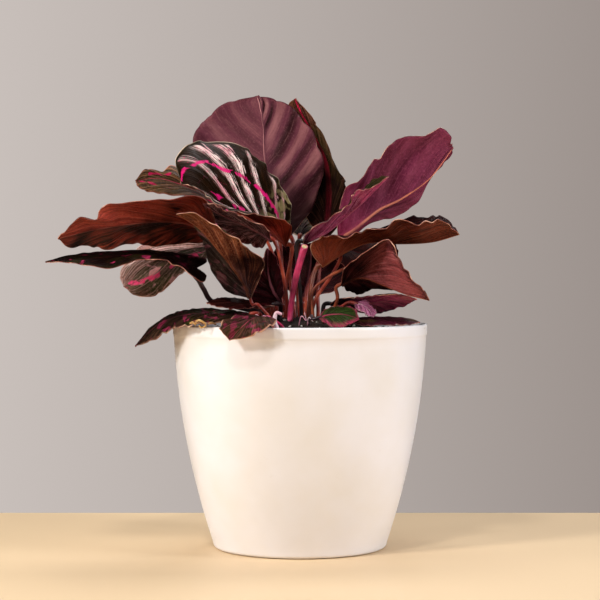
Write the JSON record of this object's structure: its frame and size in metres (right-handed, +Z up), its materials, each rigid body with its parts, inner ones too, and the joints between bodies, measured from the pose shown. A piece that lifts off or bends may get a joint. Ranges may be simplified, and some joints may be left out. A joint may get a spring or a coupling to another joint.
{
  "type": "potted calathea",
  "caption": "House plant with broad wine-red and dark green leaves on thin red stalks, growing in soil in a plain white tapered plastic pot.",
  "frame": {"origin": "centre of the pot's flat underside, on the surface it stands on", "axes": "+Z up along the pot's axis; -Y is the front of the plant; +X to the right seen from the front"},
  "size_m": [0.2815, 0.2193, 0.3222],
  "materials": {
    "pot_plastic": "warm white moulded plastic, satin",
    "potting_mix": "loose moist peat and bark mix",
    "leaf_purple": "living leaf, dusty purple underside, satin",
    "leaf_burgundy": "living leaf, burgundy underside, satin",
    "leaf_red_brown": "living leaf, red-brown underside, satin",
    "leaf_brown": "living leaf, brown underside, satin",
    "leaf_dark_green": "living leaf, near-black green upper side with pale stripes, glossy",
    "leaf_olive": "living leaf, olive upper side with pink markings, satin",
    "leaf_green": "living leaf, green with a pink midrib, satin",
    "stalk": "red-brown leaf stalk, satin",
    "cut_stalk": "pink-red stalk, cut across",
    "young_shoot": "pink young shoot"
  },
  "bodies": {
    "root": {"pot": "pot_plastic", "soil": "potting_mix", "back_leaf": "leaf_purple", "back_stalk": "stalk", "back_narrow_leaf": "leaf_olive", "back_narrow_stalk": "stalk", "left_olive_leaf": "leaf_olive", "left_olive_stalk": "stalk", "striped_leaf": "leaf_dark_green", "striped_stalk": "stalk", "under_leaf": "leaf_burgundy", "under_stalk": "stalk", "left_long_leaf": "leaf_red_brown", "left_long_stalk": "stalk", "left_drooping_leaf": "leaf_olive", "left_drooping_stalk": "stalk", "left_dark_leaf": "leaf_dark_green", "left_dark_stalk": "stalk", "left_folded_leaf": "leaf_brown", "left_folded_stalk": "stalk", "centre_leaf": "leaf_burgundy", "centre_stalk": "stalk", "left_low_leaf": "leaf_burgundy", "left_low_stalk": "stalk", "left_rim_leaf": "leaf_red_brown", "left_rim_stalk": "stalk", "front_rim_leaf": "leaf_green", "front_rim_stalk": "stalk", "right_upper_leaf": "leaf_burgundy", "right_upper_stalk": "stalk", "spear_leaf": "leaf_burgundy", "spear_stalk": "stalk", "right_long_leaf": "leaf_brown", "right_long_stalk": "stalk", "right_inner_leaf": "leaf_red_brown", "right_inner_stalk": "stalk", "right_drooping_leaf": "leaf_red_brown", "right_drooping_stalk": "stalk", "right_low_leaf": "leaf_burgundy", "right_low_stalk": "stalk", "small_green_leaf": "leaf_green", "small_green_stalk": "stalk", "pink_leaf": "leaf_burgundy", "pink_stalk": "stalk", "right_rim_leaf": "leaf_burgundy", "right_rim_stalk": "stalk", "rear_leaf": "leaf_dark_green", "rear_stalk": "stalk", "rear_left_leaf": "leaf_dark_green", "rear_left_stalk": "stalk", "rear_low_leaf": "leaf_burgundy", "rear_low_stalk": "stalk", "rear_drooping_leaf": "leaf_red_brown", "rear_drooping_stalk": "stalk", "rear_right_leaf": "leaf_dark_green", "rear_right_stalk": "stalk", "cut_stalk": "cut_stalk", "curled_shoot": "young_shoot"}
  },
  "joints": []
}
